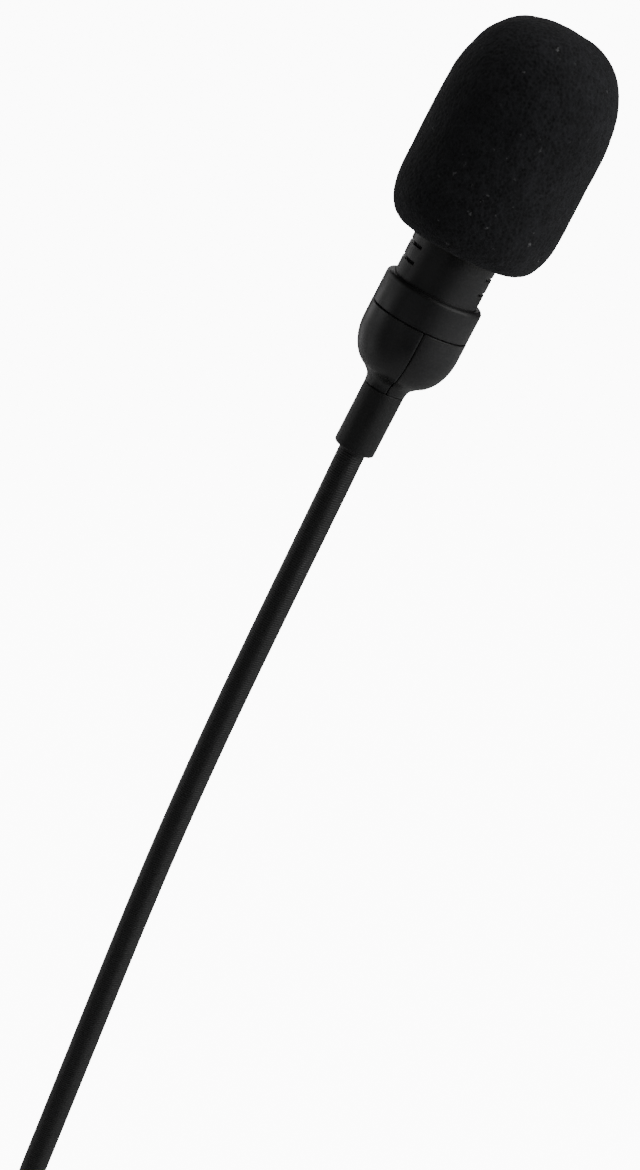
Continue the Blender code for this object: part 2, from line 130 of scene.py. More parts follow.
def ring(inner: float, outer: float, bottom: float, top: float) -> Outline:
    """A plain ring's outline."""
    return [(inner, bottom), (outer, bottom), (outer, top), (inner, top)]


def softened(outline: Outline, radius: float, steps: int = 3) -> Outline:
    """Round the corners of a closed outline.

    Args:
        outline: its corners; those on the axis stay.
        radius: how far a corner's round reaches along its edges, less on short edges.
        steps: chords in each round.

    Returns:
        The rounded outline.
    """
    points = [Vector(point) for point in outline]
    made: Outline = []
    for before, corner, after in zip(points[-1:] + points[:-1], points, points[1:] + points[:1]):
        back, ahead = before - corner, after - corner
        straight = back.length * ahead.length == 0 or back.angle(ahead) > math.radians(160)
        if corner.x == 0 or straight:
            made.append((corner.x, corner.y))
            continue
        first = corner + back.normalized() * min(radius, back.length * 0.45)
        last = corner + ahead.normalized() * min(radius, ahead.length * 0.45)
        for step in range(steps + 1):
            t = step / steps
            point = first * (1 - t) ** 2 + corner * 2 * t * (1 - t) + last * t * t
            made.append((point.x, point.y))
    return made


def resampled(points: Outline, spacing: float) -> Outline:
    """Add points to an open line, its corners kept.

    Args:
        points: the line.
        spacing: about how far apart its points end up.

    Returns:
        The same line with more points.
    """
    made = [points[0]]
    for (r0, h0), (r1, h1) in zip(points, points[1:]):
        count = max(1, round(math.hypot(r1 - r0, h1 - h0) / spacing))
        made += [(r0 + (r1 - r0) * k / count, h0 + (h1 - h0) * k / count) for k in range(1, count + 1)]
    return made


def turned(outline: Outline, sides: int = 96, start: float = 0.0, sweep: float = 360.0) -> bmesh.types.BMesh:
    """Turn a closed outline about Z with the spin operator.

    Args:
        outline: its corners in order; no edge is made along the axis.
        sides: steps in a whole turn.
        start, sweep: where a part turn begins and how far it goes, in degrees.

    Returns:
        A closed mesh in metres.
    """
    bm = bmesh.new()
    points = [bm.verts.new((radius * MM, 0.0, height * MM)) for radius, height in outline]
    pairs = zip(points, points[1:] + points[:1])
    edges = [bm.edges.new(pair) for pair in pairs if pair[0].co.x > 0.0 or pair[1].co.x > 0.0]
    bmesh.ops.transform(bm, matrix=Matrix.Rotation(math.radians(start), 4, "Z"), verts=bm.verts)
    whole = sweep == 360.0
    bmesh.ops.spin(
        bm, geom=points + edges, axis=(0, 0, 1), cent=(0, 0, 0), angle=math.radians(sweep),
        steps=round(sides * sweep / 360.0), use_merge=whole,
    )
    if not whole:
        bmesh.ops.holes_fill(bm, edges=[edge for edge in bm.edges if edge.is_boundary])
    bmesh.ops.remove_doubles(bm, verts=bm.verts, dist=MERGE)
    bmesh.ops.recalc_face_normals(bm, faces=bm.faces)
    return bm


def slotted_tube(
    line: Outline, wall: float, sides: int, is_open: Callable[[float, float], bool], soften: float
) -> bmesh.types.BMesh:
    """A tube with windows: its outer skin is spun, opened where asked, thickened inwards and eased.

    Args:
        line: the outer skin's profile from bottom to top, with a point at each window's edge.
        wall: the wall's thickness.
        sides: steps in a whole turn.
        is_open: says for an angle in degrees and a height whether the skin is cut away there.
        soften: width of the easing on the edges.

    Returns:
        A closed mesh.
    """
    bm = bmesh.new()
    points = [bm.verts.new((radius * MM, 0.0, height * MM)) for radius, height in line]
    edges = [bm.edges.new(pair) for pair in zip(points, points[1:])]
    bmesh.ops.spin(
        bm, geom=points + edges, axis=(0, 0, 1), cent=(0, 0, 0), angle=math.tau, steps=sides, use_merge=True
    )
    bmesh.ops.remove_doubles(bm, verts=bm.verts, dist=MERGE)
    middles = [(face, face.calc_center_median()) for face in bm.faces]
    cut = [face for face, m in middles if is_open(math.degrees(math.atan2(m.y, m.x)), m.z / MM)]
    bmesh.ops.delete(bm, geom=cut, context="FACES")
    bmesh.ops.recalc_face_normals(bm, faces=bm.faces)
    outward = sum(face.normal.dot(Vector((*face.calc_center_median().xy, 0.0))) for face in bm.faces)
    if outward < 0:
        bmesh.ops.reverse_faces(bm, faces=bm.faces)
    bmesh.ops.solidify(bm, geom=bm.faces, thickness=wall * MM)
    bmesh.ops.recalc_face_normals(bm, faces=bm.faces)
    sharp = [e for e in bm.edges if len(e.link_faces) == 2 and e.calc_face_angle(0.0) > math.radians(60)]
    bmesh.ops.bevel(
        bm, geom=sharp, offset=soften * MM, affect="EDGES", segments=2, profile=0.5, material=-1,
        clamp_overlap=True,
    )
    return bm


def add_piece(
    name: str, bm: bmesh.types.BMesh, place: Matrix, finish: bpy.types.Material, smooth_angle: float = 32.0
) -> bpy.types.Object:
    """Make an object of a finished mesh, its place baked into its points.

    Args:
        name: the piece's name.
        bm: the mesh, which is used up.
        place: where it goes in the frame.
        finish: its material.
        smooth_angle: edges sharper than this many degrees stay crisp.

    Returns:
        The object, at the origin.
    """
    bmesh.ops.transform(bm, matrix=place, verts=bm.verts)
    mesh = bpy.data.meshes.new(name)
    bm.to_mesh(mesh)
    bm.free()
    mesh.shade_smooth()
    mesh.set_sharp_from_angle(angle=math.radians(smooth_angle))
    mesh.materials.append(finish)
    piece = bpy.data.objects.new(name, mesh)
    bpy.context.scene.collection.objects.link(piece)
    return piece


def fit(piece: bpy.types.Object, body: str, stands_for: Iterable[str] = ()) -> bpy.types.Object:
    """Ride a piece on its body and hide the CAD nodes that it stands for.

    Args:
        piece: the finished object.
        body: the frame's body that carries it.
        stands_for: the CAD nodes that it replaces.

    Returns:
        The same piece.
    """
    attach(piece, body)
    if stands_for:
        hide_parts(*stands_for)
    log.info("%s on %s, %d faces", piece.name, body, len(piece.data.polygons))
    return piece


@dataclass(frozen=True)
class Axis:
    """A line that turned pieces stand on: its own origin, direction and turn about itself."""

    origin: Vector
    direction: Vector
    turn: float = 0.0

    @classmethod
    def of_node(cls, node: str, direction: Vector) -> "Axis":
        """The axis of a turned CAD node.

        Args:
            node: the node's name.
            direction: which way the axis points.

        Returns:
            The axis, its origin in the middle of the node's lowest end.
        """
        points = np.array([vertex.co for vertex in frame["nodes"][node].data.vertices])
        unit = np.array(direction.normalized())
        heights = points @ unit
        middle = (points - np.outer(heights, unit)).mean(0)
        return cls(Vector(middle + unit * heights.min()), direction.normalized())

    def turned_by(self, degrees: float) -> "Axis":
        """The same axis turned about itself."""
        return Axis(self.origin, self.direction, self.turn + degrees)

    @property
    def matrix(self) -> Matrix:
        """The axis as a frame: Z along it, X in the neck's plane."""
        lean = math.atan2(self.direction.x, self.direction.z)
        upright = Matrix.Translation(self.origin) @ Matrix.Rotation(lean, 4, "Y")
        return upright @ Matrix.Rotation(math.radians(self.turn), 4, "Z")

    def span(self, node: str) -> tuple[float, float, float]:
        """Measure a CAD node along and about the axis.

        Args:
            node: the node's name.

        Returns:
            Its lowest and highest point and its radius, in millimetres.
        """
        inverse = self.matrix.inverted()
        points = [inverse @ vertex.co / MM for vertex in frame["nodes"][node].data.vertices]
        heights = [point.z for point in points]
        return min(heights), max(heights), max(point.xy.length for point in points)


# ---------------------------------------------------------------- finishes


class Graph:
    """A material's node tree, with short ways to add to it."""

    def __init__(self, name: str) -> None:
        """Start a Principled material."""
        self.material = bpy.data.materials.new(name)
        self.material.use_nodes = True
        self.tree = self.material.node_tree
        self.shader = self.tree.nodes["Principled BSDF"]
        self.place = self.add("ShaderNodeTexCoord").outputs["Object"]

    def add(self, kind: str, **settings: object) -> bpy.types.Node:
        """Add a node.

        Args:
            kind: the node's type.
            settings: values for its inputs or properties, by name, with underscores for spaces.

        Returns:
            The node.
        """
        node = self.tree.nodes.new(kind)
        for key, value in settings.items():
            socket = node.inputs.get(key.replace("_", " ").title())
            if socket is None:
                setattr(node, key, value)
            else:
                self.feed(socket, value)
        return node

    def feed(self, socket: bpy.types.NodeSocket, value: object) -> None:
        """Link a socket, or set its value.

        Args:
            socket: the input to feed.
            value: another socket to link, or a number or colour.
        """
        if isinstance(value, bpy.types.NodeSocket):
            self.tree.links.new(value, socket)
        else:
            socket.default_value = value

    def set(self, **inputs: object) -> None:
        """Feed the shader's inputs."""
        for key, value in inputs.items():
            self.feed(self.shader.inputs[key.replace("_", " ")], value)

    def stretched(self, scale: tuple[float, float, float], turn: float = 0.0) -> bpy.types.NodeSocket:
        """Object coordinates, stretched.

        Args:
            scale: how dense the pattern is along each axis.
            turn: how far it is turned about Y, in radians.

        Returns:
            The coordinates.
        """
        node = self.add("ShaderNodeMapping", vector_type="TEXTURE")
        self.feed(node.inputs["Vector"], self.place)
        self.feed(node.inputs["Rotation"], (0.0, turn, 0.0))
        self.feed(node.inputs["Scale"], tuple(1.0 / side for side in scale))
        return node.outputs["Vector"]

    def warped(self, reach: float, scale: float) -> bpy.types.NodeSocket:
        """Object coordinates pushed about by noise.

        Args:
            reach: how far they are pushed at most, in millimetres.
            scale: features of that noise to a metre.

        Returns:
            The coordinates.
        """
        node = self.add("ShaderNodeTexNoise", scale=scale, detail=2.0)
        self.feed(node.inputs["Vector"], self.place)
        push = self.add("ShaderNodeVectorMath", operation="MULTIPLY_ADD")
        for socket, value in zip(push.inputs, (node.outputs["Color"], (reach * MM,) * 3, self.place)):
            self.feed(socket, value)
        return push.outputs["Vector"]

    def noise(
        self, scale: float, detail: float = 2.0, roughness: float = 0.5,
        at: bpy.types.NodeSocket | None = None,
    ) -> bpy.types.NodeSocket:
        """A noise field.

        Args:
            scale: features to a metre.
            detail: octaves of finer noise.
            roughness: how strong those are.
            at: coordinates, if not the object's own.

        Returns:
            The field, from 0 to 1.
        """
        node = self.add("ShaderNodeTexNoise", scale=scale, detail=detail, roughness=roughness)
        self.feed(node.inputs["Vector"], at or self.place)
        return node.outputs["Fac"]

    def cells(self, scale: float) -> bpy.types.NodeSocket:
        """Irregular cells.

        Args:
            scale: cells to a metre.

        Returns:
            The distance to the nearest cell's middle.
        """
        node = self.add("ShaderNodeTexVoronoi", scale=scale)
        self.feed(node.inputs["Vector"], self.place)
        return node.outputs["Distance"]

    def remap(
        self, value: bpy.types.NodeSocket, low: float, high: float, to_low: float, to_high: float
    ) -> bpy.types.NodeSocket:
        """Map a range of a field onto another, clamped.

        Args:
            value: the field.
            low, high: the range it is read over.
            to_low, to_high: what those two ends become.

        Returns:
            The mapped field.
        """
        node = self.add("ShaderNodeMapRange")
        for socket, number in zip(list(node.inputs)[:5], (value, low, high, to_low, to_high)):
            self.feed(socket, number)
        return node.outputs["Result"]

    def mix(self, share: object, first: object, second: object) -> bpy.types.NodeSocket:
        """Blend two colours.

        Args:
            share: how much of the second there is.
            first, second: sockets or colours.

        Returns:
            The blend.
        """
        node = self.add("ShaderNodeMix", data_type="RGBA")
        for index, value in ((0, share), (6, first), (7, second)):
            self.feed(node.inputs[index], value)
        return node.outputs[2]

    def math(self, operation: str, first: object, second: object = 0.5) -> bpy.types.NodeSocket:
        """One arithmetic step.

        Args:
            operation: its name.
            first, second: sockets or numbers.

        Returns:
            The result.
        """
        node = self.add("ShaderNodeMath", operation=operation)
        self.feed(node.inputs[0], first)
        self.feed(node.inputs[1], second)
        return node.outputs[0]

    def bump(
        self, height: bpy.types.NodeSocket, depth: float, under: bpy.types.NodeSocket | None = None
    ) -> bpy.types.NodeSocket:
        """A bump, over another one if there is one.

        Args:
            height: the field that it follows.
            depth: how high it stands, in millimetres.
            under: the bump below it.

        Returns:
            The bent normal.
        """
        node = self.add("ShaderNodeBump", height=height, distance=depth * MM, strength=1.0)
        if under:
            self.feed(node.inputs["Normal"], under)
        return node.outputs["Normal"]


def rgba(colour: Colour, gain: float = 1.0) -> tuple[float, float, float, float]:
    """A colour for a socket, brightened or darkened."""
    return (*(min(1.0, part * gain) for part in colour), 1.0)


@dataclass(frozen=True)
class FoamFinish:
    """Open-cell foam: painted shade in the pores between lighter struts, cloudy darker patches, and a few
    pale broken cells.
    """

    name: str = "foam"
    colour: Colour = (0.0165, 0.0167, 0.0188)
    fleck_colour: Colour = (0.15, 0.15, 0.155)
    pores: float = 1600.0
    clouds: float = 170.0
    flecks: float = 430.0
    fleck_size: float = 0.15
    fleck_bend: float = 1.6
    fleck_bends: float = 1300.0
    specular: float = 0.2
    sheen: float = 0.04
    sheen_roughness: float = 0.5

    def build(self) -> bpy.types.Material:
        """Build it.

        Returns:
            The material.
        """
        g = Graph(self.name)
        pore = g.cells(self.pores)
        worm = g.noise(self.pores * 0.4, 4.0, 0.65)
        cloud = g.noise(self.clouds, 4.0, 0.6)
        # painted shade: the cells' middles, the pores, are coloured darker than the struts round them; the
        # same cells also give the bump
        tone = g.mix(g.remap(pore, 0.15, 0.75, 0.0, 1.0), rgba(self.colour, 0.45), rgba(self.colour, 1.45))
        tone = g.mix(g.remap(worm, 0.42, 0.66, 0.0, 0.8), tone, rgba(self.colour, 2.1))
        tone = g.mix(g.remap(cloud, 0.35, 0.7, 0.0, 0.5), tone, rgba(self.colour, 0.6))
        spots = g.add("ShaderNodeTexVoronoi", scale=self.flecks)
        g.feed(spots.inputs["Vector"], g.warped(self.fleck_bend, self.fleck_bends))
        near = g.remap(spots.outputs["Distance"], self.fleck_size * 0.4, self.fleck_size, 1.0, 0.0)
        kept = g.remap(g.math("MULTIPLY", spots.outputs["Color"], 1.0), 0.34, 0.76, 0.0, 0.8)
        tone = g.mix(g.math("MULTIPLY", near, kept), tone, rgba(self.fleck_colour))
        fine = g.bump(worm, 0.12)
        g.set(Base_Color=tone, Normal=g.bump(pore, 0.1, fine), Roughness=g.remap(worm, 0.3, 0.7, 0.8, 1.0))
        g.set(Specular_IOR_Level=self.specular, Sheen_Weight=self.sheen, Sheen_Roughness=self.sheen_roughness)
        return g.material


@dataclass(frozen=True)
class MouldedFinish:
    """Moulded plastic or rubber: a fine spark-eroded grain, faint handling marks and paler worn edges."""

    name: str
    colour: Colour
    roughness: float = 0.45
    grain: float = 5200.0
    grain_depth: float = 0.012
    marks: float = 0.12
    wear: float = 1.6
    polish: float = 0.2
    specular: float = 0.5
    smudges: float = 95.0
    scuffs: float = 2600.0
    scuff_lean: float = 38.0

    def build(self) -> bpy.types.Material:
        """Build it.

        Returns:
            The material.
        """
        g = Graph(self.name)
        grain = g.noise(self.grain, 2.0, 0.6)
        smudge = g.noise(self.smudges, 4.0, 0.6)
        streaks = g.stretched((1.0, 1.0, 0.12), math.radians(self.scuff_lean))
        scuff = g.noise(self.scuffs, 2.0, 0.5, streaks)
        edge = g.remap(g.add("ShaderNodeNewGeometry").outputs["Pointiness"], 0.52, 0.6, 0.0, 0.7)
        tone = g.mix(g.remap(smudge, 0.3, 0.7, 0.0, 1.0), rgba(self.colour, 0.85), rgba(self.colour, 1.2))
        worn = g.math("MULTIPLY", edge, g.remap(scuff, 0.4, 0.6, 0.3, 1.0))
        tone = g.mix(worn, tone, rgba(self.colour, 1 + self.wear))
        rough = g.remap(smudge, 0.3, 0.7, self.roughness - self.marks / 2, self.roughness + self.marks)
        rough = g.math("ADD", rough, g.remap(scuff, 0.55, 0.75, 0.0, -self.marks / 2))
        rough = g.math("SUBTRACT", rough, g.math("MULTIPLY", edge, self.polish))
        g.set(Base_Color=tone, Roughness=rough, Normal=g.bump(grain, self.grain_depth))
        g.set(Specular_IOR_Level=self.specular)
        return g.material


@dataclass(frozen=True)
class MetalFinish:
    """Bare or plated metal with fine turning lines, dull spots and darker lows."""

    name: str
    colour: Colour
    roughness: float = 0.28
    lines: float = 9000.0
    line_depth: float = 0.004
    metallic: float = 1.0
    tarnish: float = 0.35
    spots: float = 420.0

    def build(self) -> bpy.types.Material:
        """Build it.

        Returns:
            The material.
        """
        g = Graph(self.name)
        lines = g.noise(self.lines, 2.0, 0.6, g.stretched((0.02, 0.02, 1.0)))
        spots = g.noise(self.spots, 5.0, 0.65)
        dulled = g.remap(spots, 0.45, 0.75, 0.0, self.tarnish)
        tone = g.mix(dulled, rgba(self.colour), rgba(self.colour, 0.55))
        rough = g.remap(lines, 0.25, 0.75, self.roughness * 0.75, self.roughness * 1.3)
        rough = g.math("ADD", rough, g.remap(spots, 0.5, 0.8, 0.0, 0.18))
        g.set(Base_Color=tone, Roughness=rough, Normal=g.bump(lines, self.line_depth))
        g.set(Metallic=self.metallic)
        return g.material


@dataclass(frozen=True)
class NeckFinish:
    """Black coating over close-wound wire: a painted highlight on the crests, painted shade in the grooves,
    rubbed in places.
    """

    name: str = "neck_coating"
    colour: Colour = (0.0085, 0.0085, 0.009)
    patches: float = 60.0
    flecks: float = 3600.0

    def build(self) -> bpy.types.Material:
        """Build it.

        Returns:
            The material.
        """
        g = Graph(self.name)
        patch = g.noise(self.patches, 4.0, 0.6)
        fleck = g.noise(self.flecks, 2.0, 0.55)
        crest = g.remap(g.add("ShaderNodeNewGeometry").outputs["Pointiness"], 0.47, 0.54, 0.0, 1.0)
        # painted light and shade: crests (high pointiness) are coloured lighter as a painted highlight,
        # grooves darker as painted shade
        tone = g.mix(crest, rgba(self.colour, 0.45), rgba(self.colour, 1.35))
        tone = g.mix(g.remap(fleck, 0.62, 0.72, 0.0, 0.8), tone, rgba(self.colour, 3.2))
        rough = g.math("ADD", g.remap(patch, 0.3, 0.7, 0.4, 0.52), g.remap(fleck, 0.3, 0.7, -0.04, 0.08))
        g.set(Base_Color=tone, Roughness=rough, Normal=g.bump(fleck, 0.02))
        return g.material


@dataclass(frozen=True)
class BoardFinish:
    """Solder resist over copper tracks, with glass cloth faintly showing."""

    name: str = "board_green"
    colour: Colour = (0.012, 0.11, 0.045)
    track_colour: Colour = (0.05, 0.2, 0.06)
    tracks: float = 260.0
    threads: float = 2400.0
    coat: float = 0.3

    def build(self) -> bpy.types.Material:
        """Build it.

        Returns:
            The material.
        """
        g = Graph(self.name)
        tracks = g.add("ShaderNodeTexBrick", scale=self.tracks, mortar_size=0.09, offset=0.37)
        g.feed(tracks.inputs["Vector"], g.stretched((1.0, 1.0, 1.0), math.radians(90)))
        cloth = g.noise(self.threads, 1.0, 0.4, g.stretched((1.0, 1.0, 0.3)))
        tone = g.mix(tracks.outputs["Fac"], rgba(self.colour), rgba(self.track_colour))
        tone = g.mix(g.remap(cloth, 0.4, 0.6, 0.0, 0.3), tone, rgba(self.colour, 1.5))
        rough = g.remap(cloth, 0.3, 0.7, 0.3, 0.45)
        g.set(Base_Color=tone, Roughness=rough, Normal=g.bump(tracks.outputs["Fac"], 0.03))
        g.set(Coat_Weight=self.coat)
        return g.material


@dataclass(frozen=True)
class FeltFinish:
    """Pressed felt: tangled fibres with a soft nap."""

    name: str = "felt"
    colour: Colour = (0.012, 0.012, 0.013)
    fibres: float = 2100.0
    sheen: float = 0.15

    def build(self) -> bpy.types.Material:
        """Build it.

        Returns:
            The material.
        """
        g = Graph(self.name)
        fibre = g.noise(self.fibres, 6.0, 0.75)
        tone = g.mix(g.remap(fibre, 0.35, 0.65, 0.0, 1.0), rgba(self.colour, 0.4), rgba(self.colour, 1.8))
        g.set(Base_Color=tone, Roughness=g.remap(fibre, 0.3, 0.7, 0.85, 1.0), Normal=g.bump(fibre, 0.08))
        g.set(Sheen_Weight=self.sheen)
        return g.material


class Finishes:
    """Every material of the microphone, by its slot's name."""

    def __init__(self) -> None:
        """Build them all once."""
        recipes = (
            FoamFinish(),
            NeckFinish(),
            MouldedFinish(
                "soft_rubber", (0.0105, 0.0105, 0.011), 0.5, 6500.0, 0.014, wear=0.8, specular=0.45
            ),
            MouldedFinish("black_plastic", (0.0105, 0.0105, 0.0112), 0.42, 5200.0, 0.01),
            MouldedFinish("insulator", (0.02, 0.03, 0.026), 0.5, 4000.0, 0.01),
            MouldedFinish("component_black", (0.015, 0.015, 0.016), 0.35, 7000.0, 0.006),
            MouldedFinish("white_polymer", (0.72, 0.71, 0.67), 0.5, 4000.0, 0.008, wear=0.1),
            MouldedFinish("wire_red", (0.42, 0.02, 0.02), 0.42, 6000.0, 0.006, wear=0.3),
            MouldedFinish("wire_white", (0.66, 0.66, 0.63), 0.42, 6000.0, 0.006, wear=0.1),
            MouldedFinish("cable_grey", (0.05, 0.05, 0.052), 0.5, 5000.0, 0.01, wear=0.5),
            MetalFinish("black_metal", (0.02, 0.02, 0.021), 0.36, 7000.0, 0.004, 0.55, 0.2),
            MetalFinish("nickel", (0.62, 0.6, 0.56), 0.26),
            MetalFinish("gilt", (0.78, 0.57, 0.24), 0.22, tarnish=0.25),
            MetalFinish("steel", (0.5, 0.5, 0.5), 0.34),
            MetalFinish("aluminium", (0.7, 0.7, 0.71), 0.34),
            MetalFinish("film", (0.82, 0.7, 0.4), 0.16, 12000.0, 0.001, tarnish=0.1),
            BoardFinish(),
            FeltFinish(),
        )
        self.by_slot = {recipe.name: recipe.build() for recipe in recipes}

    def __getitem__(self, slot: str) -> bpy.types.Material:
        """The material of a slot."""
        return self.by_slot[slot]

    def dress(self, node: str, slot: str) -> None:
        """Give a CAD node that stays its finish.

        Args:
            node: the node's name.
            slot: the finish's name.
        """
        materials = frame["nodes"][node].data.materials
        materials.clear()
        materials.append(self[slot])


# ---------------------------------------------------------------- the neck's line


class NeckLine:
    """The neck's centre line through the joints' pivots, and the frame at any distance along it."""

    def __init__(self, start: Axis, end: Axis) -> None:
        """Lay a smooth curve from the base's mouth through every pivot to the head.

        Args:
            start: the base's axis, its origin where the neck leaves it.
            end: the head's axis, its origin where the neck enters it.
        """
        hinges = [joint for joint in frame["joints"] if joint["type"] == "hinge"]
        self.pivots = [Vector(joint["pos_m"]) for joint in hinges]
        self.points = [start.origin, *self.pivots, end.origin]
        middles = [(after - before).normalized() for before, after in zip(self.points, self.points[2:])]
        self.tangents = [start.direction, *middles, end.direction]
        self.chords = [(b - a).length for a, b in zip(self.points, self.points[1:])]
        self.length = sum(self.chords)

    def at(self, distance: float) -> Matrix:
        """The frame at a distance along the neck.

        Args:
            distance: metres from where the neck leaves the base.

        Returns:
            A frame with Z along the neck and Y across its plane.
        """
        walked = 0.0
        last = len(self.chords) - 1
        for number, chord in enumerate(self.chords):
            if distance <= walked + chord or number == last:
                break
            walked += chord
        t = (distance - walked) / chord
        # a cubic curve through both pivots, leaving and reaching them along the line's own direction
        a, b = self.points[number], self.points[number + 1]
        ta, tb = self.tangents[number] * chord, self.tangents[number + 1] * chord
        square, cube = t * t, t * t * t
        point = a * (2 * cube - 3 * square + 1) + ta * (cube - 2 * square + t)
        point += b * (3 * square - 2 * cube) + tb * (cube - square)
        along = a * (6 * square - 6 * t) + ta * (3 * square - 4 * t + 1)
        along += b * (6 * t - 6 * square) + tb * (3 * square - 2 * t)
        lean = math.atan2(along.x, along.z)
        return Matrix.Translation(point) @ Matrix.Rotation(lean, 4, "Y")

    def bent(self, bm: bmesh.types.BMesh, shift: float) -> bmesh.types.BMesh:
        """Lay a straight mesh, upright along Z, onto the neck's line.

        Args:
            bm: the mesh, which is changed.
            shift: how far along the line its zero goes, in metres.

        Returns:
            The same mesh.
        """
        frames: dict[int, Matrix] = {}
        for vertex in bm.verts:
            key = round(vertex.co.z * 1e6)
            if key not in frames:
                frames[key] = self.at(vertex.co.z + shift)
            vertex.co = frames[key] @ Vector((vertex.co.x, vertex.co.y, 0.0))
        return bm


# ---------------------------------------------------------------- sub-assemblies


@dataclass
class Windscreen:
    """The foam cover: a domed cylinder with a rounded lower edge and a blind bore."""

    axis: Axis
    bore: float = 8.15
    bore_roof: float = 71.8
    edge_radial: float = 4.6
    edge_axial: float = 8.4
    dome: float = 20.5
    dome_power: float = 2.65
    sides: int = 440
    cell: float = 0.26
    lumps: float = 0.12
    pits: float = 0.16
    pore: float = 0.55

    def skin(self) -> Outline:
        """The outer line, from the bore's mouth round the lower edge and up the dome.

        Returns:
            The open line, closely spaced.
        """
        bottom, top, radius = self.axis.span("foam_windscreen")
        line = [(self.bore + 0.35, bottom), (radius - self.edge_radial, bottom)]
        centre = (radius - self.edge_radial, bottom + self.edge_axial)
        line += arc(centre, (self.edge_radial, self.edge_axial), -90, 0, 24)[1:]
        steps = 60
        for step in range(steps + 1):
            turn = math.radians(90.0 * step / steps)
            across = radius * math.cos(turn) ** (2 / self.dome_power) if step < steps else 0.0
            line.append((across, top - self.dome + self.dome * math.sin(turn) ** (2 / self.dome_power)))
        return resampled(line, self.cell)

    def build_mesh(self) -> bmesh.types.BMesh:
        """The foam with its torn cells and slight unevenness as real relief.

        Returns:
            A closed mesh.
        """
        skin = self.skin()
        bottom = skin[0][1]
        inside = [(0.0, self.bore_roof), (5.5, self.bore_roof - 0.4), (self.bore, self.bore_roof - 3.4)]
        inside += [(self.bore, bottom + 0.35), (self.bore + 0.1, bottom + 0.1)]
        bm = turned(skin + inside, self.sides)
        bm.normal_update()
        for vertex in bm.verts:
            across, height = vertex.co.xy.length / MM, vertex.co.z / MM
            if across < self.bore + 0.3 and height < self.bore_roof + 0.1:
                continue
            spot = vertex.co / MM
            lump = noise.fractal(spot * 0.22, 1.0, 2.0, 2) * self.lumps
            nearest = noise.voronoi(spot / self.pore)[0][0]
            vertex.co += vertex.normal * (lump + (min(nearest, 0.7) - 0.4) * self.pits) * MM
        return bm

    def build(self, finishes: Finishes) -> None:
        """Args:
            finishes: every material.
        """
        foam = add_piece("windscreen_foam", self.build_mesh(), self.axis.matrix, finishes["foam"], 180.0)
        fit(foam, "windscreen", ["foam_windscreen"])


@dataclass
class CapsuleHead:
    """The slotted housing with its grille, and the capsule parts inside it."""

    axis: Axis
    radius: float = 8.05
    wall: float = 0.85
    bottom: float = 30.0
    top: float = 66.0
    flange: float = 8.3
    slot_heights: tuple[float, ...] = (36.0, 39.0, 42.0, 45.0)
    slot_width: float = 0.6
    slot_span: float = 75.0
    flange_height: float = 1.5
    ease: float = 0.05
    grille_foot: float = 66.3
    grille_top: float = 71.0
    grille_wall: float = 0.7
    hole_rise: float = 3.0
    hole_turn: float = 6.0
    sides: int = 120
    inner_slots: dict[str, str] = field(default_factory=lambda: {
        "felt_disc": "felt", "slot_lining": "felt", "capsule_can": "aluminium", "diaphragm": "film",
        "backplate": "gilt", "backplate_ring": "white_polymer", "capsule_board": "board_green",
        "capsule_transistor": "component_black", "capsule_lead_1": "wire_white",
        "capsule_lead_2": "wire_red", "capsule_holder": "soft_rubber", "housing_plug": "black_plastic",
    })

    def slot_is_open(self, angle: float, height: float) -> bool:
        """Whether the housing's wall is cut away at a spot.

        Args:
            angle: degrees about the axis.
            height: millimetres along it.

        Returns:
            True in a slot.
        """
        from_side = abs((angle + 90.0) % 180.0 - 90.0)
        in_height = any(abs(height - slot) < self.slot_width / 2 for slot in self.slot_heights)
        return in_height and from_side < self.slot_span / 2

    def build_housing(self) -> bmesh.types.BMesh:
        """The tube with its side slots and its lower flange.

        Returns:
            A closed mesh.
        """
        step, half = self.bottom + self.flange_height, self.slot_width / 2
        heights = [step, *(slot + side for slot in self.slot_heights for side in (-half, half))]
        heights += [50.0, 58.0, self.top]  # the plain part in three lengths
        line = [(self.flange, self.bottom), (self.flange, step), *((self.radius, h) for h in heights)]
        return slotted_tube(line, self.wall, self.sides, self.slot_is_open, self.ease)

    def build_grille(self) -> bmesh.types.BMesh:
        """The perforated dome: rings of small holes with eased edges.

        Returns:
            A closed mesh.
        """
        foot = self.grille_foot
        rise = self.grille_top - foot
        line = [(self.radius, foot), *arc((0.0, foot), (self.radius, rise), 8, 86, 26)]
        first, last = foot + 1.1, self.grille_top - 0.05

        def is_open(angle: float, height: float) -> bool:
            """A checker of holes, one face in two each way, between the rim and the crown.

            Args:
                angle: degrees about the axis.
                height: millimetres along it.

            Returns:
                True in a hole.
            """
            row = round(math.degrees(math.asin(min(1.0, (height - foot) / rise))) / self.hole_rise)
            column = int((angle % 360.0) / self.hole_turn)
            return first < height < last and row % 2 == 0 and (column + row // 2) % 2 == 0

        return slotted_tube(line, self.grille_wall, round(360.0 / self.hole_turn), is_open, self.ease)

    def build(self, finishes: Finishes) -> None:
        """Make the housing and grille, and dress the capsule.

        Args:
            finishes: every material.
        """
        place = self.axis.matrix
        housing = add_piece("housing_tube", self.build_housing(), place, finishes["black_plastic"])
        fit(housing, "head", ["capsule_housing"])
        grille = add_piece("grille_dome", self.build_grille(), place, finishes["black_metal"])
        fit(grille, "head", ["front_grille"])
        for node, slot in self.inner_slots.items():
            finishes.dress(node, slot)


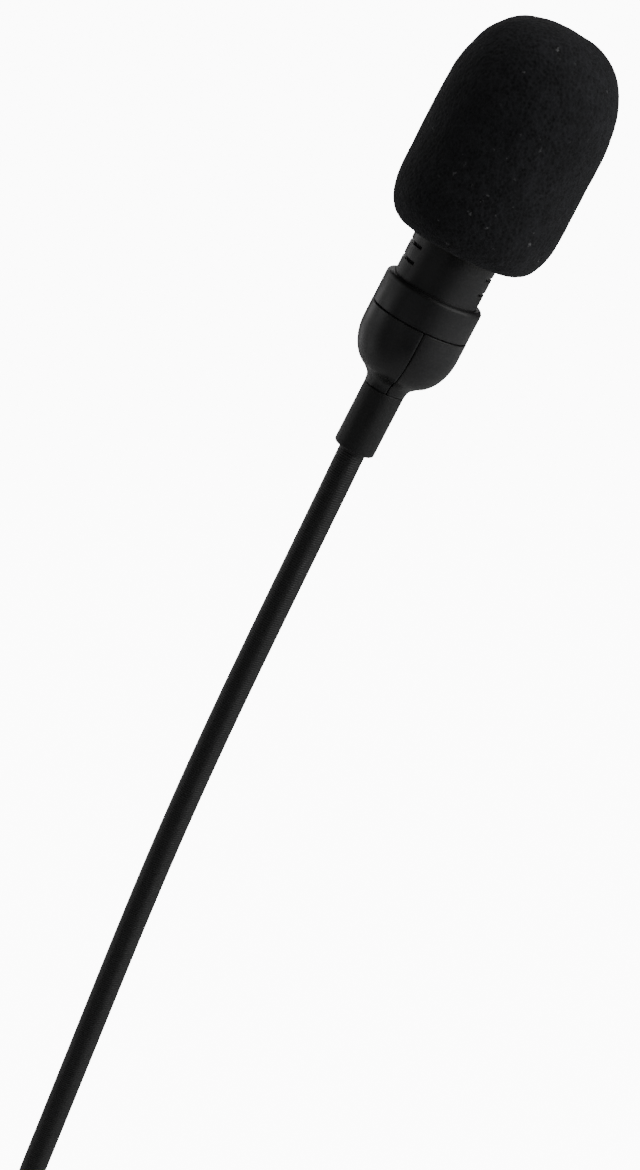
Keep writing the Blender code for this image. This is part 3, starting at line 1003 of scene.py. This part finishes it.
@dataclass
class Collar:
    """The ring between housing and cup, with a rounded lip round the housing."""

    axis: Axis
    bottom: float = 26.58
    top: float = 32.85
    radius: float = 9.38
    bore: float = 8.65
    neck: float = 8.09
    neck_foot: float = 31.8
    neck_edge: float = 0.12
    foot_edge: float = 0.2
    lip: float = 0.85

    def build(self, finishes: Finishes) -> None:
        """Make the ring.

        Args:
            finishes: every material.
        """
        lip, foot = self.lip, self.foot_edge
        line = [(self.bore, self.bottom), (self.radius - foot, self.bottom)]
        line += [(self.radius, self.bottom + foot), (self.radius, self.top - lip - 0.1)]
        line += arc((self.radius - lip, self.top - lip), (lip, lip), 0, 90, 8)
        line += [(self.neck + self.neck_edge, self.top - 0.02), (self.neck, self.top - self.neck_edge)]
        line += [(self.neck, self.neck_foot), (self.bore, self.neck_foot)]
        piece = add_piece("collar_band", turned(line, 128), self.axis.matrix, finishes["black_plastic"])
        fit(piece, "head", ["collar_ring"])


@dataclass
class Cup:
    """The rounded cup, moulded in two halves that part down the front and back."""

    axis: Axis
    bottom: float = 12.59
    top: float = 26.47
    radius: float = 9.37
    bowl: float = 3.9
    bowl_top: float = 23.0
    bowl_depth: float = 8.1
    spigot: float = 8.15
    spigot_bore: float = 7.5
    spigot_top: float = 29.4
    floor: float = 17.3
    sleeve_bore: float = 4.95
    mouth: float = 3.6
    mouth_top: float = 15.2
    seam: float = 0.045
    seam_ease: float = 0.2

    def section(self) -> Outline:
        """Half section: fillet, bowl, spigot and hollow.

        Returns:
            The closed outline, on one side of the axis.
        """
        fillet = arc((5.35, self.bottom), (1.42, 2.15), 180, 116, 8)
        bowl = arc((self.bowl, self.bowl_top), (self.radius - self.bowl, self.bowl_depth), -72, 0, 28)
        rim = [(self.radius, self.top - 0.12), (self.radius - 0.12, self.top)]
        spigot = [(self.spigot, self.top), (self.spigot, self.spigot_top)]
        hollow = [(self.spigot_bore, self.spigot_top), (self.spigot_bore, 21.4), (6.9, 19.0)]
        hollow += [(5.9, self.floor), (self.sleeve_bore, self.floor)]
        mouth = [(self.sleeve_bore, self.mouth_top), (self.mouth, self.mouth_top), (self.mouth, self.bottom)]
        return [*fillet, *bowl, *rim, *spigot, *hollow, *mouth]

    def build_half(self, side: Side) -> bmesh.types.BMesh:
        """One half, its parting edges eased.

        Args:
            side: which half.

        Returns:
            A closed mesh.
        """
        start = FRONT if side is Side.RIGHT else -FRONT
        bm = turned(self.section(), 128, start, 180.0)
        facing = [face for face in bm.faces if abs(face.normal.x) > 0.99]
        parting = [face for face in facing if abs(face.calc_center_median().x) < 1e-6]
        rims = {edge for face in parting for edge in face.edges}
        bmesh.ops.bevel(
            bm, geom=list(rims), offset=self.seam_ease * MM, affect="EDGES", segments=2, profile=0.5,
            material=-1,
        )
        bmesh.ops.translate(bm, verts=bm.verts, vec=(side.value * self.seam * MM, 0.0, 0.0))
        return bm

    def build(self, finishes: Finishes) -> None:
        """Make both halves.

        Args:
            finishes: every material.
        """
        for side in Side:
            name = side.name.lower()
            half = self.build_half(side)
            piece = add_piece(f"cup_shell_{name}", half, self.axis.matrix, finishes["black_plastic"])
            fit(piece, "head", [f"cup_half_{name}"])


@dataclass
class Sleeve:
    """A rubber sleeve round one end of the neck, with its ferrule and nut."""

    axis: Axis
    end: End
    radius: float = 3.93
    length: float = 12.52
    bore: float = 2.62
    waist: float = 3.2
    flange: float = 4.5
    flange_heights: tuple[float, float] = (15.5, 16.9)
    inside: float = 2.85
    mouth_edge: float = 0.28
    top_edge: float = 0.2
    rounding: float = 0.12

    def build(self, finishes: Finishes) -> None:
        """Make the sleeve and dress the ferrule behind it.

        Args:
            finishes: every material.
        """
        low, high = self.flange_heights
        corners = [
            (self.bore + 0.1, 0.0), (self.radius - self.mouth_edge, 0.0), (self.radius, self.mouth_edge),
            (self.radius, self.length - self.top_edge), (self.radius - self.top_edge, self.length),
            (self.waist, self.length), (self.waist, low), (self.flange, low), (self.flange, high),
            (self.inside, high), (self.inside, 3.0), (self.bore, 2.6),
        ]
        where = self.end.value
        mesh = turned(softened(corners, self.rounding), 96)
        piece = add_piece(f"{where}_strain_sleeve", mesh, self.axis.matrix, finishes["soft_rubber"])
        fit(piece, where, [f"{where}_sleeve"])
        finishes.dress(f"{where}_ferrule", "steel")
        finishes.dress(f"{where}_ferrule_nut", "nickel")


@dataclass
class Neck:
    """The wound neck and the cable inside it, one stretch for each joint."""

    line: NeckLine
    base: Axis
    head: Axis
    radius: float = 2.59
    bore: float = 1.55
    groove: float = 0.07
    turns: int = 32
    sides: int = 28
    crest: float = 0.028
    cable: float = 1.1
    cable_ring: float = 2.0
    tail: float = 23.5
    cable_reach: dict[End, float] = field(default_factory=lambda: {End.BASE: 40.0, End.HEAD: 48.0})

    @property
    def stretch(self) -> float:
        """Length of one joint's stretch, in metres."""
        return self.line.length / len(self.line.pivots)

    def winding(self) -> bmesh.types.BMesh:
        """One straight stretch of the winding, a whole number of turns, from zero up.

        Returns:
            A closed wall.
        """
        pitch = self.stretch / self.turns
        bm = bmesh.new()
        dips = (self.groove, self.crest, 0.0, 0.0, self.crest, self.groove)
        profile = zip((0.0, 0.14, 0.34, 0.62, 0.86, 1.0), dips)  # parts of one pitch
        section = [((self.radius - dip) * MM, 0.0, (part - 1.0) * pitch) for part, dip in profile]
        points = [bm.verts.new(spot) for spot in section]
        edges = [bm.edges.new(pair) for pair in zip(points, points[1:])]
        steps = self.sides * (self.turns + 2)
        bmesh.ops.spin(
            bm, geom=points + edges, axis=(0, 0, 1), cent=(0, 0, 0), angle=math.tau * (self.turns + 2),
            dvec=(0.0, 0.0, pitch / self.sides), steps=steps, use_merge=False,
        )
        bmesh.ops.remove_doubles(bm, verts=bm.verts, dist=2e-6)
        for height, keep_above in ((0.0, True), (self.stretch, False)):
            geom = bm.verts[:] + bm.edges[:] + bm.faces[:]
            bmesh.ops.bisect_plane(
                bm, geom=geom, dist=MERGE, plane_co=(0, 0, height), plane_no=(0, 0, 1),
                clear_inner=keep_above, clear_outer=not keep_above,
            )
        return self.closed_round_bore(bm)

    def closed_round_bore(self, bm: bmesh.types.BMesh) -> bmesh.types.BMesh:
        """Join the winding's two open ends to a bore, so that the stretch is one closed wall.

        Args:
            bm: the open winding, which is changed.

        Returns:
            The same mesh.
        """
        ends = [edge for edge in bm.edges if edge.is_boundary]
        caps = bmesh.ops.holes_fill(bm, edges=ends)["faces"]
        wall = (self.radius - self.groove - self.bore) * MM
        bmesh.ops.inset_region(bm, faces=caps, thickness=wall, use_even_offset=True)
        rims = [edge for face in caps for edge in face.edges]
        bmesh.ops.delete(bm, geom=caps, context="FACES_ONLY")
        bmesh.ops.bridge_loops(bm, edges=rims)
        bmesh.ops.recalc_face_normals(bm, faces=bm.faces)
        return bm

    def cable_stretch(self, bottom: float, top: float) -> bmesh.types.BMesh:
        """A straight run of cable, with rings close enough for it to bend.

        Args:
            bottom, top: where it begins and ends, in millimetres.

        Returns:
            A closed mesh.
        """
        rings = max(2, round((top - bottom) / self.cable_ring))
        side = [(self.cable, bottom + (top - bottom) * step / rings) for step in range(rings + 1)]
        return turned([(0.0, bottom), *side, (0.0, top)], 20)

    def build(self, finishes: Finishes) -> None:
        """Make the stretches, laid along one smooth line through the joints, and the ends inside base and
        head.

        Args:
            finishes: every material.
        """
        bodies = ["base", *[name for name in frame["bodies"] if name.startswith("neck_")], "head"]
        master = self.winding()
        for number, (below, above) in enumerate(zip(bodies, bodies[1:])):
            shift = number * self.stretch
            start, end = (self.line.at(shift + step * self.stretch).translation for step in (0, 1))
            links = [f"neck_link_{number:02d}"] + ([f"neck_link_{number + 1:02d}"] if above == "head" else [])
            wound = add_piece(
                f"neck_winding_{number:02d}", self.line.bent(master.copy(), shift), Matrix.Identity(4),
                finishes["neck_coating"], 50.0,
            )
            core = add_piece(
                f"neck_cable_{number:02d}", self.line.bent(self.cable_stretch(0.0, self.stretch / MM), shift),
                Matrix.Identity(4), finishes["cable_grey"],
            )
            for piece, slot in ((wound, "neck_coating"), (core, "cable_grey")):
                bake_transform(piece)
            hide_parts(*links)
            if number == 0:
                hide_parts("microphone_cable")
            log.info("%s and its cable between %s and %s", wound.name, below, above)
        master.free()
        self.build_ends(finishes)

    def build_ends(self, finishes: Finishes) -> None:
        """The neck's two ends inside the ferrules, and the cable's ends.

        Args:
            finishes: every material.
        """
        wall = ring(self.bore, self.radius - 0.05, 0.02, self.tail)
        for end, axis in ((End.BASE, self.base), (End.HEAD, self.head)):
            where = end.value
            tube = add_piece(f"neck_end_{where}", turned(wall, 48), axis.matrix, finishes["neck_coating"])
            fit(tube, where)
            core = self.cable_stretch(0.0, self.cable_reach[end])
            cable = add_piece(f"cable_end_{where}", core, axis.matrix, finishes["cable_grey"])
            fit(cable, where)


@dataclass
class PlugBase:
    """The plug and its handle: nose, insert, pins, barrel and cap."""

    axis: Axis
    plug_depth: float = 16.5
    nose: float = 9.4
    nose_wall: float = 1.45
    nose_top: float = 10.5
    window: tuple[float, float] = (-10.6, -6.4)
    window_turn: float = 15.5
    screw_hole: tuple[float, float] = (1.7, 4.3)
    screw_turn: float = 8.0
    barrel: float = 10.9
    barrel_wall: float = 1.2
    barrel_top: float = 38.0
    grooves: tuple[float, ...] = (4.0, 30.0)
    groove_depth: float = 0.35
    cap_height: float = 6.0
    pin_circle: float = 4.75
    pin: float = 1.2
    pin_tip: float = -13.3
    pin_angles: tuple[float, ...] = (90.0, 210.0, 330.0)
    inner_slots: dict[str, str] = field(default_factory=lambda: {
        "plug_insert": "insulator", "barrel_board": "board_green", "board_capacitor": "component_black",
        "board_transistor": "component_black", "pin_wire_1": "wire_white", "pin_wire_2": "wire_red",
        "pin_wire_3": "wire_white", "insert_screw": "steel",
    })

    def build_nose(self) -> bmesh.types.BMesh:
        """The shell with its latch window and the hole of the insert's screw.

        Returns:
            A closed mesh.
        """
        heights = (-self.plug_depth, *self.window, *self.screw_hole, self.nose_top)
        line = [(self.nose, height) for height in heights]

        def is_open(angle: float, height: float) -> bool:
            """The window on the far side, and the screw's hole on the right.

            Args:
                angle: degrees about the axis.
                height: millimetres along it.

            Returns:
                True in either.
            """
            window = abs(angle - 90.0) < self.window_turn and self.window[0] < height < self.window[1]
            screw = abs(angle) < self.screw_turn and self.screw_hole[0] < height < self.screw_hole[1]
            return window or screw

        return slotted_tube(line, self.nose_wall, 120, is_open, 0.25)

    def build_pin(self) -> bmesh.types.BMesh:
        """A round contact with a domed tip and a solder cup.

        Returns:
            A closed mesh.
        """
        tip = arc((0.0, self.pin_tip), (self.pin, self.pin), -90, 0, 8)
        cup = [(self.pin, 8.85), (1.05, 9.0), (0.8, 9.0), (0.8, 7.4), (0.0, 7.4)]
        return turned([(0.0, tip[0][1]), *tip[1:], *cup], 40)

    def build_barrel(self) -> bmesh.types.BMesh:
        """The handle tube: a plain grip between two grooves.

        Returns:
            A closed mesh.
        """
        inner, r, floor = self.barrel - self.barrel_wall, self.barrel, self.barrel - self.groove_depth
        line = [(inner, 0.0), (r - 0.5, 0.0), (r, 0.5)]
        for groove in self.grooves:
            line += [(r, groove), (floor, groove + 0.3), (floor, groove + 1.1), (r, groove + 1.4)]
        line += [(r, self.barrel_top), (inner, self.barrel_top)]
        return turned(softened(line, 0.18), 144)

    def build_cap(self) -> bmesh.types.BMesh:
        """The rounded cap with its spigot, which the base sleeve comes through.

        Returns:
            A closed mesh.
        """
        bottom = self.barrel_top + 0.12
        top = self.barrel_top + 0.3 + self.cap_height
        spigot = self.barrel - self.barrel_wall - 0.3
        line = [(8.6, bottom - 4.4), (spigot, bottom - 4.4), (spigot, bottom), (self.barrel - 0.15, bottom)]
        line += [(self.barrel, bottom + 0.15)]
        line += arc((5.0, bottom + 1.2), (self.barrel - 5.0, self.cap_height - 1.02), 0, 80, 20)
        line += [(4.15, top), (4.0, top - 0.15), (3.95, top - 2.5), (4.9, top - 2.5), (8.6, bottom)]
        return turned(line, 144)

    def build(self, finishes: Finishes) -> None:
        """Make the base and dress what is inside it.

        Args:
            finishes: every material.
        """
        upright = self.axis.matrix
        makes = (
            ("plug_nose", self.build_nose(), "nickel", "plug_shell"),
            ("barrel_tube", self.build_barrel(), "black_metal", "barrel"),
            ("barrel_cap", self.build_cap(), "black_plastic", "base_cap"),
        )
        for name, mesh, slot, node in makes:
            fit(add_piece(name, mesh, upright, finishes[slot]), "base", [node])
        for number, angle in enumerate(self.pin_angles, 1):
            turn = math.radians(angle)
            spot = Vector((math.cos(turn), math.sin(turn), 0.0)) * self.pin_circle * MM
            place = upright @ Matrix.Translation(spot)
            piece = add_piece(f"pin_{number}", self.build_pin(), place, finishes["gilt"])
            fit(piece, "base", [f"contact_pin_{number}"])
        for node, slot in self.inner_slots.items():
            finishes.dress(node, slot)


# ---------------------------------------------------------------- the studio


@dataclass(frozen=True)
class SoftLight:
    """A soft rectangular light that faces the head, placed from there; sizes in metres."""

    name: str
    place: tuple[float, float, float]
    size: tuple[float, float]
    watts: float

    def build(self, target: Vector) -> None:
        """Hang the light.

        Args:
            target: the spot it faces.
        """
        data = bpy.data.lights.new(self.name, "AREA")
        data.shape = "RECTANGLE"
        data.size, data.size_y = self.size
        data.energy = self.watts
        light = bpy.data.objects.new(self.name, data)
        light.location = target + Vector(self.place)
        light.rotation_euler = (-Vector(self.place)).to_track_quat("-Z", "Y").to_euler()
        bpy.context.scene.collection.objects.link(light)


@dataclass
class Studio:
    """A plain pale floor under soft light, and the camera."""

    target: Vector
    distance: float = 0.44
    elevation: float = 20.0
    lens: float = 72.9
    backdrop: float = 11.0
    ambient: float = 0.012
    floor_radius: float = 12.0
    lights: tuple[SoftLight, ...] = (
        SoftLight("left_back", (-0.7, 0.75, 0.15), (0.4, 1.2), 1.7),
        SoftLight("left_side", (-1.0, 0.1, 0.2), (0.4, 1.2), 1.45),
        SoftLight("right_side", (1.0, -0.1, 0.3), (0.5, 1.0), 3.0),
        SoftLight("right_front", (0.8, -0.6, 0.3), (0.6, 0.8), 2.3),
        SoftLight("front_left", (-0.65, -0.85, 0.3), (0.8, 0.8), 0.47),
        SoftLight("top", (0.3, 0.1, 1.0), (0.6, 0.6), 2.3),
        SoftLight("back", (-0.02, 0.95, 0.27), (0.6, 0.4), 1.0),
        SoftLight("lip_spark", (0.78, -0.59, 0.2), (0.12, 0.12), 0.9),
    )

    def build_camera(self) -> None:
        """The camera in front of the microphone, looking slightly down."""
        data = bpy.data.cameras.new("camera")
        data.lens = self.lens
        data.sensor_width = 36.0
        data.clip_start, data.clip_end = 0.01, 50.0
        camera = bpy.data.objects.new("camera", data)
        rise = math.radians(self.elevation)
        back = Vector((0.0, -math.cos(rise), math.sin(rise)))
        camera.location = self.target + back * self.distance
        camera.rotation_euler = (math.radians(90.0 - self.elevation), 0.0, 0.0)
        bpy.context.scene.collection.objects.link(camera)
        bpy.context.scene.camera = camera

    def build_floor(self, height: float) -> None:
        """A wide pale floor under the plug.

        Args:
            height: where it lies.
        """
        bm = bmesh.new()
        bmesh.ops.create_circle(bm, cap_ends=True, segments=96, radius=self.floor_radius)
        g = Graph("studio_floor")
        g.set(Base_Color=(0.86, 0.86, 0.86, 1.0), Roughness=0.9, Emission_Color=(1.0, 1.0, 1.0, 1.0))
        g.shader.inputs["Emission Strength"].default_value = 0.0
        floor = add_piece("studio_floor", bm, Matrix.Translation((0.0, 0.0, height)), g.material)
        seen = g.add("ShaderNodeLightPath").outputs["Is Camera Ray"]
        g.set(Emission_Strength=g.math("MULTIPLY", seen, self.backdrop))

    def build_world(self) -> None:
        """White surroundings: bright to the eye, but giving the object only a little light."""
        world = bpy.data.worlds.new("studio")
        world.use_nodes = True
        bpy.context.scene.world = world
        tree = world.node_tree
        background = tree.nodes["Background"]
        background.inputs["Color"].default_value = (1.0, 1.0, 1.0, 1.0)
        level = tree.nodes.new("ShaderNodeMapRange")
        tree.links.new(tree.nodes.new("ShaderNodeLightPath").outputs["Is Camera Ray"], level.inputs["Value"])
        level.inputs["To Min"].default_value = self.ambient
        level.inputs["To Max"].default_value = self.backdrop
        tree.links.new(level.outputs["Result"], background.inputs["Strength"])

    def build(self, floor_height: float) -> None:
        """Camera, floor, surroundings and lights.

        Args:
            floor_height: where the floor lies.
        """
        self.build_camera()
        self.build_floor(floor_height)
        self.build_world()
        for light in self.lights:
            light.build(self.target)


def main() -> None:
    """Build the microphone's looks, one sub-assembly after another."""
    logging.basicConfig(level=logging.INFO, format="%(message)s")
    pull = next(joint for joint in frame["joints"] if joint["type"] == "slide")
    head = Axis.of_node("head_sleeve", Vector(pull["axis"]))
    head_front = head.turned_by(HEAD_TURN)
    base_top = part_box("base_sleeve")[1].z
    base = Axis(Vector((0.0, 0.0, 0.0)), Vector((0.0, 0.0, 1.0)))
    mouth = Axis(Vector((0.0, 0.0, base_top)), Vector((0.0, 0.0, 1.0)))
    mouth_down = Axis(mouth.origin, Vector((0.0, 0.0, -1.0)))

    finishes = Finishes()
    Windscreen(head).build(finishes)
    CapsuleHead(head_front).build(finishes)
    Collar(head).build(finishes)
    Cup(head_front).build(finishes)
    Sleeve(head, End.HEAD).build(finishes)
    Sleeve(mouth_down, End.BASE).build(finishes)
    Neck(NeckLine(mouth, head), mouth_down, head).build(finishes)
    PlugBase(base).build(finishes)

    Studio(head.origin + Vector(VIEW_CENTRE) * MM).build(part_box("plug_shell")[0].z)


if __name__ == "__main__":
    main()
